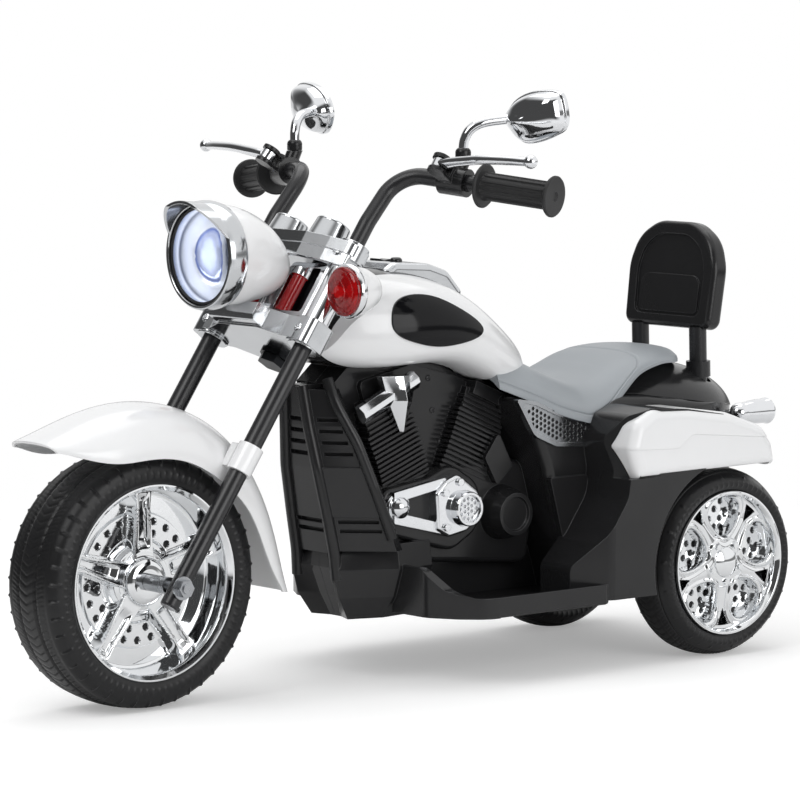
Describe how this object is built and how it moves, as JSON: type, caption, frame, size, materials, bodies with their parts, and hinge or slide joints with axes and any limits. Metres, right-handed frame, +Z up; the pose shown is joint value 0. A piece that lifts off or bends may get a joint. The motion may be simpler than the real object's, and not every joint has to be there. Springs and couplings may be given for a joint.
{
  "type": "kids electric motorbike",
  "caption": "Child ride-on electric chopper with a raked fork, round headlamp, tank, saddle, backrest, saddlebags and small wheels; it steers, rolls and squeezes its levers.",
  "frame": {"origin": "bottom centre of the bounding box, on the ground between the wheels", "axes": "+X forward, +Y to the left of the rider, +Z up"},
  "size_m": [0.8696, 0.508, 0.5745],
  "materials": {
    "tyre_black": "matt moulded",
    "chrome_plate": "bright plated",
    "gloss_white": "gloss",
    "black_plastic": "satin moulded",
    "gloss_black": "gloss",
    "black_metal": "semi gloss paint",
    "grip_rubber": "matt",
    "seat_grey": "satin moulded",
    "red_plastic": "gloss",
    "red_lens": "clear red",
    "clear_lens": "clear",
    "reflector": "bright plated",
    "mirror_silver": "mirror",
    "plain_steel": "zinc plated",
    "battery_case": "moulded",
    "gear_case": "moulded",
    "control_black": "gloss"
  },
  "bodies": {
    "chassis": {"body_left": "black_plastic", "body_right": "black_plastic", "radiator": "black_plastic", "tank_spine": "black_plastic", "tank_panel_left": "gloss_white", "tank_panel_right": "gloss_white", "tank_inlays": "gloss_black", "console": "chrome_plate", "seat": "seat_grey", "rear_deck": "black_plastic", "saddlebag_left": "gloss_white", "saddlebag_right": "gloss_white", "backrest": "black_plastic", "backrest_posts": "black_metal", "tail_lamps": "chrome_plate", "engine_trim": "chrome_plate", "side_meshes": "chrome_plate", "battery": "battery_case", "drive_unit": "gear_case", "rear_axle": "plain_steel", "charge_socket": "black_plastic"},
    "steering": {"fork_leg_left": "black_metal", "fork_leg_right": "black_metal", "lower_yoke": "chrome_plate", "upper_yoke": "chrome_plate", "steering_stem": "plain_steel", "fork_shroud": "chrome_plate", "damper_rods": "red_plastic", "front_axle": "plain_steel", "front_fender": "gloss_white", "headlamp_shell": "gloss_white", "headlamp_bezel": "chrome_plate", "headlamp_reflector": "reflector", "headlamp_lens": "clear_lens", "signal_left": "gloss_white", "signal_right": "gloss_white", "signal_bezels": "chrome_plate", "signal_lenses": "red_lens", "handlebar_left": "black_metal", "handlebar_right": "black_metal", "grip_left": "grip_rubber", "grip_right": "grip_rubber", "perch_left": "black_plastic", "perch_right": "black_plastic"},
    "front_wheel": {"front_tyre": "tyre_black", "front_rim_left": "chrome_plate", "front_rim_right": "chrome_plate"},
    "rear_wheel_left": {"rear_tyre_left": "tyre_black", "rear_rim_left": "chrome_plate"},
    "rear_wheel_right": {"rear_tyre_right": "tyre_black", "rear_rim_right": "chrome_plate"},
    "lever_left": {"lever_left": "chrome_plate"},
    "lever_right": {"lever_right": "chrome_plate"},
    "mirror_left": {"mirror_left": "chrome_plate", "mirror_glass_left": "mirror_silver"},
    "mirror_right": {"mirror_right": "chrome_plate", "mirror_glass_right": "mirror_silver"},
    "pedal": {"pedal": "black_plastic"},
    "switch_power": {"switch_power": "control_black"},
    "switch_direction": {"switch_direction": "control_black"}
  },
  "joints": [
    {"name": "steer", "type": "hinge", "parent": "chassis", "child": "steering", "pos_m": [0.10956, 0, 0.36935], "axis": [-0.565, 0, 0.8251], "range_deg": [-20, 20]},
    {"name": "front_roll", "type": "hinge", "parent": "steering", "child": "front_wheel", "pos_m": [0.3148, 0, 0.12], "axis": [0, 1, 0], "continuous": true},
    {"name": "rear_roll_left", "type": "hinge", "parent": "chassis", "child": "rear_wheel_left", "pos_m": [-0.3182, 0.119, 0.095], "axis": [0, 1, 0], "continuous": true},
    {"name": "rear_roll_right", "type": "hinge", "parent": "chassis", "child": "rear_wheel_right", "pos_m": [-0.3182, -0.119, 0.095], "axis": [0, 1, 0], "continuous": true},
    {"name": "squeeze_left", "type": "hinge", "parent": "steering", "child": "lever_left", "pos_m": [0.04961, 0.13103, 0.50347], "axis": [-0.5849, -0.105, 0.8043], "range_deg": [0, 10], "stiffness_Nm_per_rad": 0.6, "springref_deg": -14.32},
    {"name": "squeeze_right", "type": "hinge", "parent": "steering", "child": "lever_right", "pos_m": [0.04961, -0.13103, 0.50347], "axis": [0.5849, -0.105, -0.8043], "range_deg": [0, 10], "stiffness_Nm_per_rad": 0.6, "springref_deg": -14.32},
    {"name": "mirror_swivel_left", "type": "hinge", "parent": "steering", "child": "mirror_left", "pos_m": [0.0178, 0.1285, 0.508], "axis": [0, 0, 1], "range_deg": [-25, 25]},
    {"name": "mirror_swivel_right", "type": "hinge", "parent": "steering", "child": "mirror_right", "pos_m": [0.0178, -0.1285, 0.508], "axis": [0, 0, 1], "range_deg": [-25, 25]},
    {"name": "pedal_press", "type": "hinge", "parent": "chassis", "child": "pedal", "pos_m": [-0.0622, -0.116, 0.084], "axis": [0, 1, 0], "range_deg": [0, 8], "stiffness_Nm_per_rad": 2, "springref_deg": -11.46},
    {"name": "power_press", "type": "slide", "parent": "chassis", "child": "switch_power", "axis": [0, 0, -1], "range_m": [0, 0.002], "stiffness_N_per_m": 400, "springref_m": -0.002},
    {"name": "direction_rock", "type": "hinge", "parent": "chassis", "child": "switch_direction", "pos_m": [0.0038, -0.012, 0.4005], "axis": [0, 1, 0], "range_deg": [-5, 5]}
  ]
}
